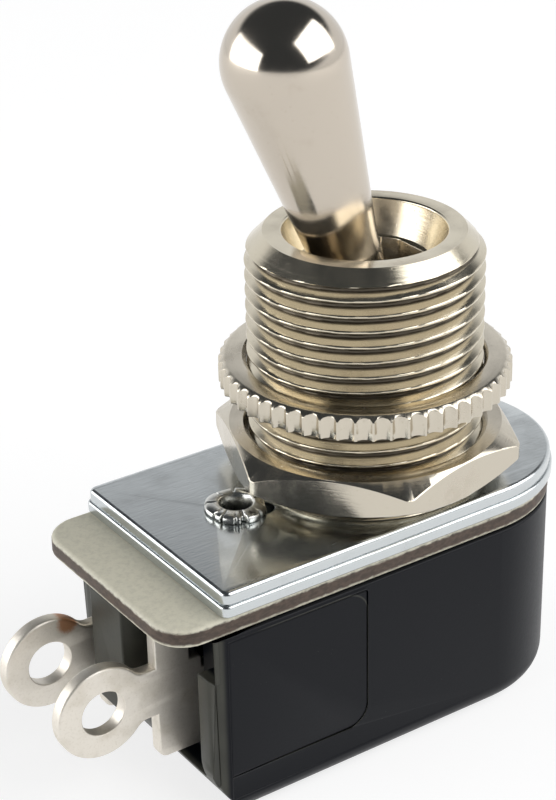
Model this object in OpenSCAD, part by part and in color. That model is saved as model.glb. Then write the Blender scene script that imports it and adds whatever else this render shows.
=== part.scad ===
// Panel toggle switch, single pole, on-off, with solder lugs at one end.
// Millimetres. Origin: bushing axis at the top face of the upper plate. +Z runs up the bushing,
// +X towards the round end, and the lugs stand at the -X end.

/* [Bushing] */
// Major diameter of the bushing thread
thread_d = 11.906; // [11.5:0.01:12.3]
// Pitch of the bushing thread
thread_pitch = 0.79375; // [0.7:0.01:0.9]
// Depth of the thread's grooves
thread_depth = 0.46; // [0.3:0.02:0.5]
// Width of the land between two grooves, at the major diameter
crest_w = 0.1; // [0.06:0.02:0.2]
// Height of the land left between the topmost groove and the crown's chamfer
crown_land = 0.05; // [0.02:0.01:0.2]
// Height of the plain foot below the grooves
thread_foot = 0.6; // [0.4:0.05:0.7]
// Height of the bushing above the upper plate
bushing_h = 13.1; // [12.6:0.1:14]
// Diameter of the flat ring on top of the bushing
crown_d = 10.04; // [9.6:0.02:10.6]
// Angle of the crown chamfer, measured from the horizontal
crown_angle = 30; // [20:1:40]
// Diameter of the cup's mouth
cup_d = 8.06; // [7.8:0.02:8.6]
// Depth of the cup from the crown to its floor
cup_depth = 1.7; // [1.5:0.05:1.9]
// Diameter of the cup's floor
cup_floor_d = 6.2; // [6:0.05:6.8]
// Diameter of the lower bore that the lever's arm swings in
lower_bore_d = 8.8; // [8.6:0.05:9.4]
// Height over which the bore widens from the ball's seat to the lower bore
bore_taper_h = 5; // [4:0.25:6]
// Diameter of the spigot that passes through both plates
spigot_d = 10.4; // [10:0.05:10.8]
// Diameter of the rim staked under the lower plate
stake_d = 11.1; // [10.9:0.05:11.3]
// Thickness of the staked rim
stake_t = 0.25; // [0.2:0.05:0.3]

/* [Lever] */
// Depth of the lever's fulcrum below the top of the bushing
fulcrum_depth = 4.7; // [4.5:0.05:4.9]
// Lean of the lever from upright at each end of its throw
lean = 18; // [14:1:18]
// Diameter of the ball that the lever turns on
ball_d = 5.8; // [5.6:0.05:6]
// Diameter of the domed tip
tip_d = 6; // [5.4:0.1:6.6]
// Distance from the fulcrum to the centre of the domed tip
tip_reach = 14.6; // [12:0.1:18]
// Diameter of the neck between the ball and the handle
neck_d = 3.6; // [3.2:0.05:3.7]
// Distance from the fulcrum to the top of the neck
neck_reach = 4.6; // [4.2:0.05:5]
// Diameter of the arm below the ball
arm_d = 3.5; // [3.3:0.05:3.6]
// Length of the arm below the fulcrum
arm_len = 8; // [7:0.1:8.2]
// Diameter of the blind bore in the arm
arm_bore_d = 2.4; // [2.3:0.05:2.5]
// Distance from the fulcrum to the blind end of the arm's bore
arm_bore_top = 1.2; // [0.8:0.05:1.5]

/* [Plunger, spring and roller] */
// Diameter of the plunger's stem
stem_d = 2.3; // [2:0.05:2.36]
// Distance from the fulcrum to the top of the stem
stem_top = 6.8; // [6.4:0.05:7.2]
// Distance from the fulcrum to the top of the plunger's head
head_top = 11.5; // [11.45:0.01:11.55]
// Width of the plunger's head along the throw
head_w = 3; // [2.8:0.05:3.1]
// Distance from the fulcrum to the roller's axis
roller_reach = 13; // [12.8:0.05:13.4]
// Diameter of the contact roller
roller_d = 2.5; // [2.3:0.05:2.6]
// Length of the contact roller
roller_len = 6.8; // [6.4:0.05:7.2]
// Diameter of the roller's waist
waist_d = 2; // [1.6:0.05:2.2]
// Length of the roller's waist
waist_len = 2.8; // [2:0.1:3.4]
// Travel of the plunger into the arm
plunger_travel = 0.2; // [0.1:0.05:0.25]
// Wire diameter of the spring
wire_d = 0.3; // [0.2:0.02:0.34]
// Outer diameter of the spring
spring_d = 2.2; // [2:0.05:2.26]
// Number of turns of the spring
spring_turns = 8; // [5:1:10]

/* [Nuts] */
// Width of the hexagon nut across its flats
hex_af = 14; // [13:0.05:15]
// Diameter of the flat rings on both faces of the hexagon nut
hex_face_d = 13.9; // [12.9:0.05:13.95]
// Angle of the chamfers between those rings and the corners
hex_chamfer = 30; // [20:1:35]
// Thickness of the hexagon nut
hex_t = 2; // [1.6:0.05:2.3]
// Height of the hexagon nut above the upper plate
hex_z = 0.75; // [0.6:0.05:1]
// Turn of the hexagon nut about the bushing
hex_turn = 9.5; // [0:0.5:60]
// Outer diameter of the knurled ring nut
ring_d = 14.8; // [14:0.1:16]
// Thickness of the knurled ring nut
ring_t = 1.3; // [1:0.05:1.6]
// Height of the knurled ring nut above the upper plate
ring_z = 5.16; // [5:0.02:6.5]
// Edge chamfer of the knurled ring nut
ring_chamfer = 0.3; // [0.15:0.05:0.4]
// Number of flutes in the knurl
flutes = 54; // [36:1:60]
// Radius of each flute
flute_r = 0.4; // [0.3:0.02:0.45]
// Depth of each flute
flute_depth = 0.26; // [0.15:0.01:0.3]

/* [Plates] */
// Distance from the bushing axis to the plate's square end
plate_x = 12.85; // [12.3:0.05:13.3]
// Width of the upper plate, which its round end follows
plate_w = 12.8; // [12.4:0.05:13.2]
// Centre of the round end, measured from the bushing axis
round_x = 4.1; // [3.8:0.05:4.6]
// Corner radius at the plate's square end
plate_corner = 0.4; // [0.2:0.05:1]
// Thickness of the upper plate
upper_t = 0.66; // [0.5:0.02:0.8]
// Thickness of the lower plate
lower_t = 0.65; // [0.5:0.01:0.8]
// Margin by which the lower plate stands proud of the upper one
lower_margin = 0.12; // [0.05:0.01:0.25]
// Width of the key notch that opens from the rivet's hole in the upper plate
key_d = 1.2; // [0.8:0.05:1.3]
// Distance from the rivet's axis to the end of the key notch
key_reach = 1.3; // [1.1:0.05:1.7]

/* [Insulator] */
// Distance from the bushing axis to the insulator's square end
insulator_x = 15.8; // [15.2:0.05:16.4]
// Width of the insulator
insulator_w = 12.7; // [12.4:0.05:13]
// Corner radius at the insulator's square end
insulator_corner = 1.85; // [1:0.05:2.5]
// Thickness of the insulator
insulator_t = 1.03; // [0.8:0.01:1.3]
// Length of the opening in the insulator
window_x = 12; // [11.6:0.1:12.4]
// Width of the opening in the insulator beside its round middle
window_y = 7.8; // [7.4:0.1:8.2]
// Diameter of the opening's round middle
window_d = 11.5; // [11.3:0.05:11.7]

/* [Base] */
// Distance from the bushing axis to the base's lug end
base_x = 13.6; // [13.4:0.05:14]
// Width of the base, which its round end follows
base_w = 13; // [12.8:0.05:13.4]
// Centre of the base's round end, measured from the bushing axis
base_round_x = 3.87; // [3.6:0.01:4.2]
// Height of the base
base_h = 10.7; // [10.4:0.05:11.4]
// Radius of the lower edge at the lug end
heel_r = 3.3; // [2.5:0.05:3.6]
// Radius of the other lower edges
skirt_r = 1.3; // [0.8:0.05:1.6]
// Corner radius of the base's lug end, seen from above
base_corner = 0.8; // [0.5:0.05:1]
// Length of the switch chamber
chamber_x = 11.8; // [11.4:0.05:12]
// Width of the switch chamber
chamber_y = 7.8; // [7.4:0.05:8.2]
// Width of the deep channel along the middle of the chamber
channel_w = 3.2; // [2.6:0.1:3.4]
// Thickness of the base's floor under the channel
floor_t = 2.2; // [1.8:0.05:3]
// Depth of the lug bays at the end of the base
bay_depth = 1.45; // [1.2:0.05:1.7]
// Distance from the middle to the outer side of each lug bay
bay_y = 4.85; // [4.4:0.05:5.2]
// Height of the lug bays below the base's top
bay_h = 8.7; // [8.5:0.05:9]
// Depth of the notch above each corner post
post_notch_h = 2.5; // [2:0.05:3]
// Thickness of the outer wall left beside each notch
post_wall = 0.45; // [0.35:0.05:0.8]
// Width of the barrier between the lugs
barrier_w = 3; // [2.6:0.05:3.2]
// Distance from the bushing axis to the end of the barrier
barrier_x = 15.7; // [15:0.05:15.8]
// Height of the barrier below the base's top
barrier_h = 6.2; // [5:0.1:8]
// Corner radius of the barrier's lower end
barrier_r = 0.6; // [0.3:0.05:1]
// Length of the raised panel on each long side
panel_len = 8.9; // [7:0.1:10]
// Height of the raised panel
panel_h = 7.8; // [6:0.1:8]
// Gap between the top of the base and the raised panel
panel_drop = 0.25; // [0.1:0.05:0.5]
// Height by which the panel stands out of the wall
panel_proud = 0.08; // [0.04:0.01:0.15]
// Lower corner radius of the raised panel
panel_r = 1.2; // [0.6:0.1:2]

/* [Rivets] */
// Distance from the bushing axis to the tubular rivet near the lugs
lug_rivet_x = 7.95; // [7.8:0.05:8]
// Distance from the bushing axis to the rivet at the round end, along the plate
round_rivet_x = 7.6; // [7.6:0.05:8]
// Offset of the rivet at the round end across the plate
round_rivet_y = 0.45; // [0:0.05:0.6]
// Diameter of the rivet's shank
rivet_d = 2; // [1.8:0.05:2.1]
// Diameter of the bore through the rivet
rivet_bore_d = 1.44; // [1.2:0.02:1.5]
// Diameter of the rolled rim on the upper plate
rim_d = 3.26; // [2.8:0.02:3.28]
// Height of the rolled rim
rim_h = 0.45; // [0.3:0.05:0.5]
// Number of splits in the rolled rim
rim_splits = 8; // [4:1:10]
// Width of each split
split_w = 0.16; // [0.08:0.02:0.24]
// Direction of the wide gap that the rim leaves above the key notch
gap_angle = -30; // [-60:1:0]
// Distance from the rivet's axis to the wide gap
gap_start = 1.05; // [1:0.05:1.3]
// Distance from the rivet's axis to the start of each split
split_start = 1.18; // [1.05:0.01:1.4]
// Diameter of the rivet's head under the base
head_d = 3.6; // [3:0.05:4]
// Thickness of the rivet's head
rivet_head_t = 0.4; // [0.3:0.05:0.6]
// Depth of the counterbore that sinks the head in the base
sink_h = 0.8; // [0.7:0.05:1.2]

/* [Lugs] */
// Distance of each lug from the middle plane
lug_y = 2.64; // [2.5:0.02:2.8]
// Thickness of the lug strip
lug_t = 0.75; // [0.6:0.01:0.8]
// Outer diameter of the eye
eye_d = 4.9; // [4.4:0.05:5.2]
// Diameter of the hole in the eye
eye_hole_d = 2.36; // [1.8:0.02:2.6]
// Distance from the bushing axis to the middle of the eye
eye_x = 17.75; // [17.3:0.05:18.4]
// Height of the middle of the eye
eye_z = -6.53; // [-6.8:0.01:-6.2]
// Width of the neck between the eye and the tab
lug_neck_w = 2.7; // [2.2:0.05:3]
// Fillet between the neck and the eye
lug_fillet = 0.8; // [0.5:0.05:1.2]
// Distance from the bushing axis to the outer edge of the tab
tab_x = 14.8; // [14.6:0.05:15]
// Lower end of the tab
tab_bottom = -10.5; // [-10.9:0.05:-10]
// Corner radius at the foot of the tab
tab_r = 0.5; // [0.2:0.05:0.8]
// Width cut away from the inner upper corner of the tab
tab_shoulder = 0.7; // [0.3:0.05:1]
// Height of the tab's shoulder
shoulder_z = -5.3; // [-6:0.05:-5]
// Height of the strip's upper edge inside the base
blade_top = -6; // [-6.3:0.05:-5.8]
// Height of the strip's lower edge inside the base
blade_bottom = -9.4; // [-9.8:0.05:-9]
// Distance from the bushing axis to the inner end of the blade
blade_end = 2.9; // [2.6:0.05:3.2]

/* [Clearances] */
// Radial clearance of the ball in its seat
ball_gap = 0.03; // [0.02:0.01:0.06]
// Radial clearance of the nuts on the thread
nut_gap = 0.03; // [0.02:0.01:0.06]
// Side clearance of the neck in the slot of the cup's floor
slot_gap = 0.15; // [0.1:0.01:0.2]
// End clearance of the neck in the slot at full lean
stop_gap = 0.04; // [0.02:0.01:0.08]
// Clearance between the roller and its track
track_gap = 0.02; // [0.01:0.01:0.05]
// Clearance of the roller in the plunger's groove
groove_gap = 0.03; // [0.02:0.01:0.05]
// Side clearance of each lug strip in its slot
strip_gap = 0.03; // [0.02:0.01:0.08]
// Clearance of the rivets in the base, insulator and plates
rivet_gap = 0.03; // [0.02:0.01:0.08]

/* [Hidden] */
$fn = 64;
// A small length that carries cuts past the faces they open
cut = 0.5;
thread_r = thread_d / 2;
crown_r = crown_d / 2;
crown_h = (thread_r - crown_r) * tan(crown_angle);
// Half the width of a groove at the major diameter; its flanks stand at 30 degrees
groove_half = (thread_pitch - crest_w) / 2;
top_groove_z = bushing_h - crown_h - crown_land - groove_half;
grooves = 1 + floor((top_groove_z - groove_half - thread_foot) / thread_pitch);
cup_floor_z = bushing_h - cup_depth;
fulcrum_z = bushing_h - fulcrum_depth;
ball_r = ball_d / 2;
neck_r = neck_d / 2;
tip_r = tip_d / 2;
// Slope of the handle: the cone from the top of the neck touches the tip's sphere
neck_span = tip_reach - neck_reach;
neck_to_tip = sqrt(neck_span * neck_span + neck_r * neck_r);
handle_slope = asin(tip_r / neck_to_tip) - asin(neck_r / neck_to_tip);
slot_half_x = (cup_floor_z - fulcrum_z) * tan(lean) + neck_r / cos(lean) + stop_gap;
slot_half_y = neck_r + slot_gap;
lower_z = -upper_t - lower_t;
insulator_z = lower_z - insulator_t;
base_z = insulator_z - base_h;
lower_w = plate_w + 2 * lower_margin;
track_r = roller_reach + roller_d / 2 + track_gap;
bay_x = base_x - bay_depth;
lug_rivet_at = [-lug_rivet_x, 0, 0];
round_rivet_at = [round_rivet_x, round_rivet_y, 0];

// Tilts a shape built along the upright lever to the lever's rest position
module at_rest() {
    translate([0, 0, fulcrum_z])
        rotate([0, -lean, 0])
            children();
}

// A plate outline: square end with rounded corners at -X, half round end at +X
module plate_outline(square_x, round_at, width, corner) {
    half = width / 2;
    translate([round_at, 0])
        circle(r = half);
    translate([-square_x + corner, -half])
        square([square_x - corner + round_at, width]);
    translate([-square_x, -half + corner])
        square([square_x, width - 2 * corner]);
    for (side = [-1, 1])
        translate([-square_x + corner, side * (half - corner)])
            circle(r = corner);
}

// A rectangle with two rounded corners on its lower edge, standing on y = 0
module round_foot(x0, x1, height, corner) {
    translate([x0 + corner, 0])
        square([x1 - x0 - 2 * corner, height]);
    translate([x0, corner])
        square([x1 - x0, height - corner]);
    for (x = [x0 + corner, x1 - corner])
        translate([x, corner])
            circle(r = corner);
}

// Lays a profile drawn in X and Z out along Y, from y0 to y1
module along_y(y0, y1) {
    translate([0, y1, 0])
        rotate([90, 0, 0])
            linear_extrude(y1 - y0)
                children();
}

// Round holes for both rivets
module rivet_holes(diameter, z0, z1) {
    for (place = [lug_rivet_at, round_rivet_at])
        translate([place[0], place[1], z0])
            cylinder(d = diameter, h = z1 - z0);
}

// One groove of the thread. The solid has rings, one pitch apart, in place of the helix
module groove() {
    over = 0.05;
    rotate_extrude()
        polygon([
            [thread_r - thread_depth, -groove_half + thread_depth * tan(30)],
            [thread_r + over, -groove_half - over * tan(30)],
            [thread_r + over, groove_half + over * tan(30)],
            [thread_r - thread_depth, groove_half - thread_depth * tan(30)]
        ]);
}

module bushing() {
    color("silver")
        difference() {
            union() {
                cylinder(r = thread_r, h = bushing_h - crown_h);
                translate([0, 0, bushing_h - crown_h])
                    cylinder(r1 = thread_r, r2 = crown_r, h = crown_h);
                translate([0, 0, lower_z - stake_t])
                    cylinder(d = spigot_d, h = stake_t - lower_z);
                translate([0, 0, lower_z - stake_t])
                    cylinder(d = stake_d, h = stake_t);
            }
            // Grooves of the thread
            for (i = [0 : grooves - 1])
                translate([0, 0, top_groove_z - i * thread_pitch])
                    groove();
            // Cup with its flat floor
            translate([0, 0, cup_floor_z])
                cylinder(d1 = cup_floor_d, d2 = cup_d, h = cup_depth);
            translate([0, 0, bushing_h])
                cylinder(d = cup_d, h = cut);
            // Slot that the neck swings in
            translate([-slot_half_x, -slot_half_y, fulcrum_z])
                cube([2 * slot_half_x, 2 * slot_half_y, cup_floor_z - fulcrum_z + cut]);
            // Seat of the ball and the bore below it
            translate([0, 0, fulcrum_z])
                sphere(r = ball_r + ball_gap);
            translate([0, 0, fulcrum_z - bore_taper_h])
                cylinder(d1 = lower_bore_d, r2 = ball_r + ball_gap, h = bore_taper_h);
            translate([0, 0, lower_z - stake_t - cut])
                cylinder(d = lower_bore_d, h = fulcrum_z - bore_taper_h - lower_z + stake_t + cut);
        }
}

// Handle profile: neck, straight taper and domed tip, drawn from the lever's axis outwards
module handle_profile() {
    touch = [tip_r * cos(handle_slope), tip_reach - tip_r * sin(handle_slope)];
    polygon([[0, 0], [neck_r, 0], [neck_r, neck_reach], touch, [0, touch[1]]]);
    intersection() {
        translate([0, tip_reach])
            circle(r = tip_r);
        translate([0, touch[1]])
            square([2 * tip_r, 2 * tip_r]);
    }
}

module lever() {
    color("gainsboro")
        at_rest()
            difference() {
                union() {
                    rotate_extrude()
                        handle_profile();
                    sphere(r = ball_r);
                    translate([0, 0, -arm_len])
                        cylinder(d = arm_d, h = arm_len);
                }
                translate([0, 0, -arm_len - cut])
                    cylinder(d = arm_bore_d, h = arm_len + cut - arm_bore_top);
            }
}

module plunger() {
    color("saddlebrown")
        at_rest()
            difference() {
                union() {
                    translate([0, 0, -head_top - cut])
                        cylinder(d = stem_d, h = head_top + cut - stem_top);
                    translate([-head_w / 2, -roller_len / 2, -roller_reach])
                        cube([head_w, roller_len, roller_reach - head_top]);
                }
                translate([0, roller_len / 2 + cut, -roller_reach])
                    rotate([90, 0, 0])
                        cylinder(d = roller_d + 2 * groove_gap, h = roller_len + 2 * cut);
            }
}

module contact_roller() {
    color("peru")
        at_rest()
            translate([0, 0, -roller_reach])
                rotate([90, 0, 0])
                    difference() {
                        cylinder(d = roller_d, h = roller_len, center = true);
                        difference() {
                            cylinder(d = roller_d + cut, h = waist_len, center = true);
                            cylinder(d = waist_d, h = waist_len + cut, center = true);
                        }
                    }
}

// One closed tube swept along a helix between two heights
module coil(coil_r, wire_r, z0, z1, turns) {
    per_turn = 14;
    sides = 8;
    rings = turns * per_turn;
    points = [
        for (i = [0:rings], j = [0:sides - 1])
            let (a = 360 * i / per_turn, b = 360 * j / sides, r = coil_r + wire_r * cos(b))
                [r * cos(a), r * sin(a), z0 + (z1 - z0) * i / rings + wire_r * sin(b)]
    ];
    skin = [
        for (i = [0:rings - 1], j = [0:sides - 1])
            let (a = i * sides + j, b = i * sides + (j + 1) % sides)
                [a, a + sides, b + sides, b]
    ];
    ends = [[for (j = [0:sides - 1]) j], [for (j = [0:sides - 1]) rings * sides + sides - 1 - j]];
    polyhedron(points, concat(skin, ends), convexity = 10);
}

module spring() {
    color("lightsteelblue")
        at_rest()
            coil(
                (spring_d - wire_d) / 2, wire_d / 2,
                -stem_top + wire_d / 2, -arm_bore_top - wire_d / 2, spring_turns
            );
}

module hex_nut() {
    rise = hex_t / tan(hex_chamfer);
    color("silver")
        translate([0, 0, hex_z])
            difference() {
                intersection() {
                    rotate([0, 0, hex_turn])
                        cylinder(r = hex_af / sqrt(3), h = hex_t, $fn = 6);
                    cylinder(d1 = hex_face_d, d2 = hex_face_d + 2 * rise, h = hex_t);
                    cylinder(d1 = hex_face_d + 2 * rise, d2 = hex_face_d, h = hex_t);
                }
                translate([0, 0, -cut])
                    cylinder(r = thread_r + nut_gap, h = hex_t + 2 * cut);
            }
}

module ring_nut() {
    outer_r = ring_d / 2;
    color("silver")
        translate([0, 0, ring_z])
            difference() {
                union() {
                    cylinder(r1 = outer_r - ring_chamfer, r2 = outer_r, h = ring_chamfer);
                    translate([0, 0, ring_chamfer])
                        cylinder(r = outer_r, h = ring_t - 2 * ring_chamfer);
                    translate([0, 0, ring_t - ring_chamfer])
                        cylinder(r1 = outer_r, r2 = outer_r - ring_chamfer, h = ring_chamfer);
                }
                translate([0, 0, -cut])
                    cylinder(r = thread_r + nut_gap, h = ring_t + 2 * cut);
                for (i = [0:flutes - 1])
                    rotate([0, 0, 360 * i / flutes])
                        translate([outer_r - flute_depth + flute_r, 0, -cut])
                            cylinder(r = flute_r, h = ring_t + 2 * cut, $fn = 24);
            }
}

module upper_plate() {
    color("lightgray")
        difference() {
            translate([0, 0, -upper_t])
                linear_extrude(upper_t)
                    plate_outline(plate_x, round_x, plate_w, plate_corner);
            translate([0, 0, -upper_t - cut])
                cylinder(d = spigot_d, h = upper_t + 2 * cut);
            translate([-lug_rivet_x, 0, -upper_t - cut])
                rotate([0, 0, gap_angle]) {
                    translate([key_reach, 0, 0])
                        cylinder(d = key_d, h = upper_t + 2 * cut);
                    translate([0, -key_d / 2, 0])
                        cube([key_reach, key_d, upper_t + 2 * cut]);
                }
            rivet_holes(rivet_d + 2 * rivet_gap, -upper_t - cut, cut);
        }
}

module lower_plate() {
    color("lightgray")
        difference() {
            translate([0, 0, lower_z])
                linear_extrude(lower_t)
                    plate_outline(plate_x + lower_margin, round_x, lower_w, plate_corner);
            translate([0, 0, lower_z - cut])
                cylinder(d = spigot_d, h = lower_t + 2 * cut);
            rivet_holes(rivet_d + 2 * rivet_gap, lower_z - cut, -upper_t + cut);
        }
}

module insulator() {
    color("tan")
        difference() {
            translate([0, 0, insulator_z])
                linear_extrude(insulator_t)
                    plate_outline(insulator_x, round_x, insulator_w, insulator_corner);
            translate([0, 0, insulator_z - cut])
                linear_extrude(insulator_t + 2 * cut) {
                    circle(d = window_d);
                    square([window_x, window_y], center = true);
                }
            rivet_holes(rivet_d + 2 * rivet_gap, insulator_z - cut, lower_z + cut);
        }
}

// Outer form of the base's straight part, up to the middle of its round end
module base_block() {
    half = base_w / 2;
    intersection() {
        translate([0, 0, base_z])
            linear_extrude(base_h)
                plate_outline(base_x, base_round_x, base_w, base_corner);
        along_y(-half - cut, half + cut)
            translate([0, base_z])
                difference() {
                    translate([-base_x, 0])
                        square([base_x + base_round_x, base_h]);
                    difference() {
                        translate([-base_x - cut, -cut])
                            square([heel_r + cut, heel_r + cut]);
                        translate([-base_x + heel_r, heel_r])
                            circle(r = heel_r);
                    }
                }
        rotate([90, 0, -90])
            translate([0, 0, -base_round_x])
                linear_extrude(base_x + base_round_x)
                    translate([0, base_z])
                        round_foot(-half, half, base_h, skirt_r);
    }
}

// Outer form of the base's round end
module base_round_end() {
    half = base_w / 2;
    translate([base_round_x, 0, base_z])
        rotate([0, 0, -90])
            rotate_extrude(angle = 180)
                intersection() {
                    round_foot(-half, half, base_h, skirt_r);
                    square([half, base_h]);
                }
}

// Raised panel on the long sides, between the lug end and the middle
module base_panels() {
    half = base_w / 2 + panel_proud;
    x0 = -base_x + base_corner;
    top = insulator_z - panel_drop;
    intersection() {
        along_y(-half, half)
            difference() {
                translate([x0, top - panel_h])
                    square([panel_len - base_corner, panel_h]);
                translate([-base_x + panel_len - panel_r, top - panel_h - cut])
                    difference() {
                        square([panel_r + cut, panel_r + cut]);
                        translate([0, panel_r + cut])
                            circle(r = panel_r);
                    }
            }
        translate([x0 - cut, -half, top - panel_h])
            cube([panel_len + cut, 2 * half, panel_h]);
    }
}

// Barrier that stands between the lugs and carries the insulator's overhang
module base_barrier() {
    translate([-barrier_x, 0, insulator_z - barrier_h])
        rotate([90, 0, 90])
            linear_extrude(barrier_x - bay_x + cut)
                round_foot(-barrier_w / 2, barrier_w / 2, barrier_h, barrier_r);
}

// Everything cut out of the base, apart from the rivet holes
module base_hollows() {
    strip = lug_t + 2 * strip_gap;
    channel_top = insulator_z + cut;
    channel_z = base_z + floor_t;
    // Deep channel along the middle
    translate([-chamber_x / 2, -channel_w / 2, channel_z])
        cube([chamber_x, channel_w, channel_top - channel_z]);
    // Upper chamber, whose floor is the roller's track
    intersection() {
        translate([-chamber_x / 2, -chamber_y / 2, fulcrum_z - track_r])
            cube([chamber_x, chamber_y, channel_top - fulcrum_z + track_r]);
        along_y(-chamber_y / 2, chamber_y / 2)
            translate([0, fulcrum_z])
                circle(r = track_r, $fn = 180);
    }
    for (side = [-1, 1]) {
        // Slot that holds the lug's strip
        translate([-base_x, side * lug_y - strip / 2, blade_bottom])
            cube([base_x - blade_end + strip_gap, strip, channel_top - blade_bottom]);
        // Bay that the tab stands in
        translate([-base_x - cut, side > 0 ? barrier_w / 2 : -bay_y, insulator_z - bay_h])
            cube([bay_depth + cut, bay_y - barrier_w / 2, bay_h + cut]);
        // Notch above the corner post
        translate([
            -base_x - cut,
            side > 0 ? bay_y - cut : -base_w / 2 + post_wall,
            insulator_z - post_notch_h
        ])
            cube([bay_depth + cut, base_w / 2 - post_wall - bay_y + cut, post_notch_h + cut]);
    }
}

module base() {
    color([0.13, 0.14, 0.17])
        difference() {
            union() {
                difference() {
                    union() {
                        base_block();
                        base_round_end();
                        base_panels();
                    }
                    base_hollows();
                }
                base_barrier();
            }
            rivet_holes(rivet_d + 2 * rivet_gap, base_z - cut, insulator_z + cut);
            rivet_holes(head_d + 2 * rivet_gap, base_z - cut, base_z + sink_h);
        }
}

// Outline of a lug in X and Z: eye, neck, tab, strip through the base and contact blade
module lug_outline() {
    neck_z = eye_z - lug_neck_w / 2;
    difference() {
        union() {
            translate([-eye_x, eye_z])
                circle(d = eye_d);
            translate([-eye_x, neck_z])
                square([eye_x - tab_x + cut, lug_neck_w]);
            // Web that the fillets beside the neck are cut from
            translate([-eye_x + eye_d / 4, neck_z - lug_fillet])
                square([eye_x - tab_x - eye_d / 4, lug_neck_w + 2 * lug_fillet]);
            // Tab with rounded lower corners
            translate([0, tab_bottom])
                round_foot(-tab_x, -bay_x, shoulder_z - tab_bottom, tab_r);
            translate([-tab_x, shoulder_z - cut])
                square([tab_x - bay_x - tab_shoulder, insulator_z - shoulder_z + cut]);
            // Strip through the base
            translate([-bay_x - cut, blade_bottom])
                square([bay_x + cut - chamber_x / 2, blade_top - blade_bottom]);
            // Blade, whose upper edge lies on the roller's track
            intersection() {
                translate([-chamber_x / 2, blade_bottom])
                    square([chamber_x / 2 - blade_end, blade_top - blade_bottom + 2 * cut]);
                difference() {
                    translate([-chamber_x, blade_bottom - cut])
                        square([chamber_x, insulator_z - blade_bottom]);
                    translate([0, fulcrum_z])
                        circle(r = track_r, $fn = 180);
                }
            }
        }
        translate([-eye_x, eye_z])
            circle(d = eye_hole_d);
        // Fillets between the eye and the neck
        for (side = [-1, 1])
            translate([
                -eye_x + sqrt(
                    pow(eye_d / 2 + lug_fillet, 2) - pow(lug_neck_w / 2 + lug_fillet, 2)
                ),
                eye_z + side * (lug_neck_w / 2 + lug_fillet)
            ])
                circle(r = lug_fillet);
    }
}

module lug(side) {
    color("whitesmoke")
        along_y(side * lug_y - lug_t / 2, side * lug_y + lug_t / 2)
            lug_outline();
}

module lug_near() {
    lug(-1);
}

module lug_far() {
    lug(1);
}

// Tubular rivet: head sunk in the base, shank, and a split rim rolled over on the upper plate
module rivet() {
    foot_z = base_z + sink_h - rivet_head_t;
    color("silver")
        difference() {
            union() {
                translate([0, 0, foot_z])
                    cylinder(d = head_d, h = rivet_head_t);
                translate([0, 0, foot_z])
                    cylinder(d = rivet_d, h = rim_h / 2 - foot_z);
                cylinder(d = rim_d, h = rim_h / 2);
                translate([0, 0, rim_h / 2])
                    cylinder(d1 = rim_d, d2 = rim_d - rim_h, h = rim_h / 2);
            }
            translate([0, 0, foot_z - cut])
                cylinder(d = rivet_bore_d, h = rim_h - foot_z + 2 * cut);
            for (i = [1:rim_splits - 1])
                rotate([0, 0, gap_angle + 360 * i / rim_splits])
                    translate([split_start, -split_w / 2, rim_h / 4])
                        cube([rim_d, split_w, rim_h]);
            rotate([0, 0, gap_angle])
                translate([gap_start, -key_d / 2, 0])
                    cube([rim_d, key_d, rim_h]);
        }
}

module rivet_lug_end() {
    translate(lug_rivet_at)
        rivet();
}

module rivet_round_end() {
    translate(round_rivet_at)
        rivet();
}

base();
insulator();
lower_plate();
upper_plate();
bushing();
hex_nut();
ring_nut();
lever();
spring();
plunger();
contact_roller();
lug_near();
lug_far();
rivet_lug_end();
rivet_round_end();
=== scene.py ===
"""Finishes and fine surfaces of a panel toggle switch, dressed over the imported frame.

Sizes are in millimetres in the classes and turn into metres where a mesh is made. The origin is on the
bushing's axis at the upper plate's top face, +Z runs up the bushing and +X towards the round end.
"""
import logging
import math
from dataclasses import dataclass, field
from enum import Enum
from typing import Callable, Sequence, Union

import bmesh
import bpy
import numpy as np
from mathutils import Matrix, Vector
from mathutils.geometry import tessellate_polygon


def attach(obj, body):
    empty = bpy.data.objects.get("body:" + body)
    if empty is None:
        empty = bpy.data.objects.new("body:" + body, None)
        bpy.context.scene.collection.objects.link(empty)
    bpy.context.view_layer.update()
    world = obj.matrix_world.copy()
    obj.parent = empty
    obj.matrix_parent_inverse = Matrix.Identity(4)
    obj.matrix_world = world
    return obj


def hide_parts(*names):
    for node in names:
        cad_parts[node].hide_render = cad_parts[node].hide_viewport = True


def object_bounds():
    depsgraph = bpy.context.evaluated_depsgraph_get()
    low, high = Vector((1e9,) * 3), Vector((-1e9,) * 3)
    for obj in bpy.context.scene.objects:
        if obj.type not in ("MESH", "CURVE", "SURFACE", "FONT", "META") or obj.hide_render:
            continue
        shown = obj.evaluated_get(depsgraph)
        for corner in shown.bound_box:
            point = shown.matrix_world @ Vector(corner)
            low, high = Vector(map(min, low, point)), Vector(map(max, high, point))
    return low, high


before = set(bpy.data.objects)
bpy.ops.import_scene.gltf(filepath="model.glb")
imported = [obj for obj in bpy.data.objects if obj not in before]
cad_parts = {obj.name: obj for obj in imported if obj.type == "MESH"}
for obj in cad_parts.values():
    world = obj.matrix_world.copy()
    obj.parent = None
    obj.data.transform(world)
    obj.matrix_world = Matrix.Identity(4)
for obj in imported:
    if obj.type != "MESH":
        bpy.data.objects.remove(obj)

CAD_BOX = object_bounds()
LOG = logging.getLogger("toggle_switch")
MM = 0.001
TAU = 2.0 * math.pi
Number = Union[int, float]


class Body(Enum):
    """The rigid bodies that pieces ride on."""

    HOUSING = "housing"
    LEVER = "lever"
    HEX_NUT = "hexagon_nut"
    RING_NUT = "knurled_nut"


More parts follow.
